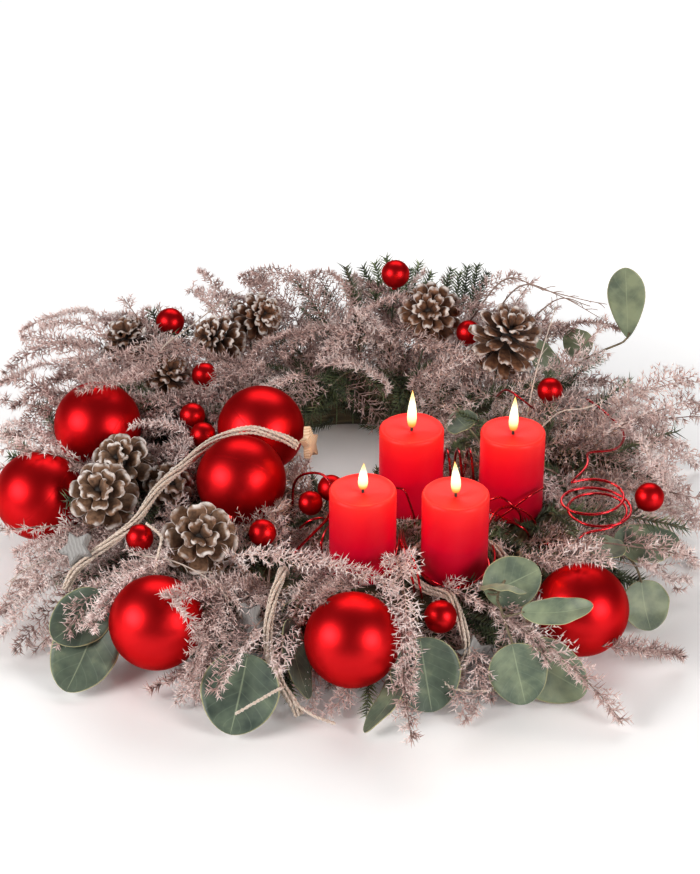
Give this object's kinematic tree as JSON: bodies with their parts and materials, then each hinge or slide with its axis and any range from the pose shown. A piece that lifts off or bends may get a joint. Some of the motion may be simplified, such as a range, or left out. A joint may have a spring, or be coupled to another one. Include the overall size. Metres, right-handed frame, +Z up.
{
  "type": "decorated advent wreath",
  "caption": "Table wreath on a straw ring with red pillar candles and baubles, pine cones, eucalyptus, fir, pink fern, jute twine, wire curls and wooden stars.",
  "frame": {"origin": "a point on the straw ring's flat underside, on the wide side between the hole and the front edge, 46 mm in front of the ring's middle", "axes": "+Z up out of the table; -Y towards the front, where the wide side with the candles lies; +X to the right seen from the front"},
  "size_m": [0.6903, 0.7089, 0.189],
  "materials": {
    "red_glass": "satin red lacquer on thin blown glass, silvered inside, opaque",
    "red_wax": "dyed red candle wax, satin, slightly let through by light near the top",
    "red_enamel": "metallic red enamel on thin wire",
    "steel": "plain pressed steel",
    "straw": "bound dry straw",
    "cone_scales": "dry brown pine scales with whitened edges",
    "eucalyptus_leaf": "preserved grey-green leaf, waxy bloom",
    "fir_needles": "dark green fir needles on woody twigs",
    "fern_pink": "dyed dusty pink feathery fern, matt",
    "jute": "natural twisted jute",
    "light_wood": "pale sawn wood",
    "grey_wood": "weathered grey wood"
  },
  "bodies": {
    "root": {"bauble_by_hole_back": "red_glass", "bauble_by_hole_front": "red_glass", "bauble_front_left": "red_glass", "bauble_front_middle": "red_glass", "bauble_front_right": "red_glass", "bauble_left_edge": "red_glass", "bauble_upper_left": "red_glass", "candle_back_left": "red_wax", "candle_back_right": "red_wax", "candle_front_left": "red_wax", "candle_front_right": "red_wax", "candle_holder_back_left": "steel", "candle_holder_back_right": "steel", "candle_holder_front_left": "steel", "candle_holder_front_right": "steel", "cone_back": "cone_scales", "cone_back_left": "cone_scales", "cone_back_pair": "cone_scales", "cone_back_right": "cone_scales", "cone_front_left": "cone_scales", "cone_left": "cone_scales", "cone_left_pair": "cone_scales", "eucalyptus_back_right": "eucalyptus_leaf", "eucalyptus_behind_candles": "eucalyptus_leaf", "eucalyptus_front_left": "eucalyptus_leaf", "eucalyptus_front_middle": "eucalyptus_leaf", "eucalyptus_front_right": "eucalyptus_leaf", "eucalyptus_left": "eucalyptus_leaf", "eucalyptus_right": "eucalyptus_leaf", "fern_back_left": "fern_pink", "fern_back_right": "fern_pink", "fern_front_left": "fern_pink", "fern_front_right": "fern_pink", "fern_left": "fern_pink", "fern_right": "fern_pink", "fir_back": "fir_needles", "fir_left": "fir_needles", "fir_right": "fir_needles", "small_bauble_back": "red_glass", "small_bauble_back_left": "red_glass", "small_bauble_back_right": "red_glass", "small_bauble_by_candle": "red_glass", "small_bauble_front": "red_glass", "small_bauble_inner_left": "red_glass", "small_bauble_left_front": "red_glass", "small_bauble_left_middle": "red_glass", "small_bauble_left_pair": "red_glass", "small_bauble_right": "red_glass", "small_bauble_right_back": "red_glass", "star_by_hole": "light_wood", "star_front_left": "grey_wood", "star_left": "grey_wood", "straw_ring": "straw", "twine_front_left": "jute", "twine_front_right": "jute", "twine_left": "jute", "wire_coil": "red_enamel", "wire_front": "red_enamel", "wire_left": "red_enamel", "wire_right": "red_enamel"}
  },
  "joints": []
}
